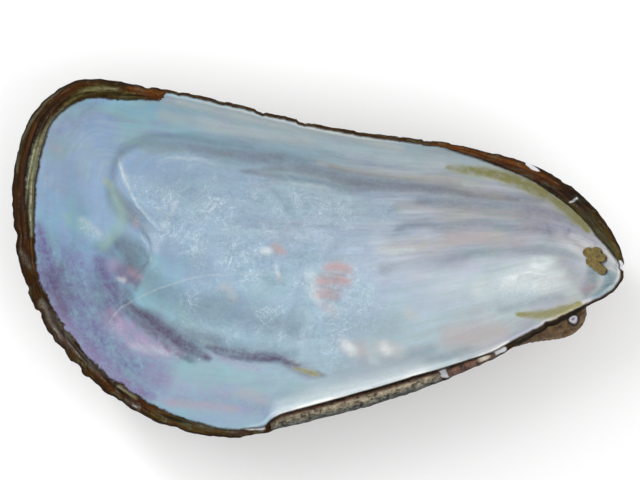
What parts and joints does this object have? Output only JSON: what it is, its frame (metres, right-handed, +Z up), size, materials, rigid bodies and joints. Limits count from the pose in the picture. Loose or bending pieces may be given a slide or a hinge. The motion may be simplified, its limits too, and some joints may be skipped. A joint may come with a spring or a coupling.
{
  "type": "mussel shell",
  "caption": "Long oval mussel shell valve lying hollow side up, with a pearly inside, a brown horny rim, a beak near the narrow front end and torn ligament along the hinge.",
  "frame": {"origin": "on the surface that the shell lies on, under the middle of its bounding box", "axes": "+X along the shell to its narrow front end with the beak, +Y from the hinge to the belly margin, +Z up out of the hollow"},
  "size_m": [0.1299, 0.0761, 0.0272],
  "materials": {
    "valve": "blue-white nacre with a soft pearly gloss inside, horny brown skin at the rim and outside",
    "ligament_strip": "dried horny ligament, mottled brown, tan and grey-green",
    "ligament_fragment": "dried horny ligament, red-brown",
    "muscle_remnant": "dried muscle crust, mustard brown, slightly glossy"
  },
  "bodies": {
    "root": {"valve": "valve", "ligament_strip": "ligament_strip", "ligament_fragment": "ligament_fragment", "muscle_remnant": "muscle_remnant"}
  },
  "joints": []
}
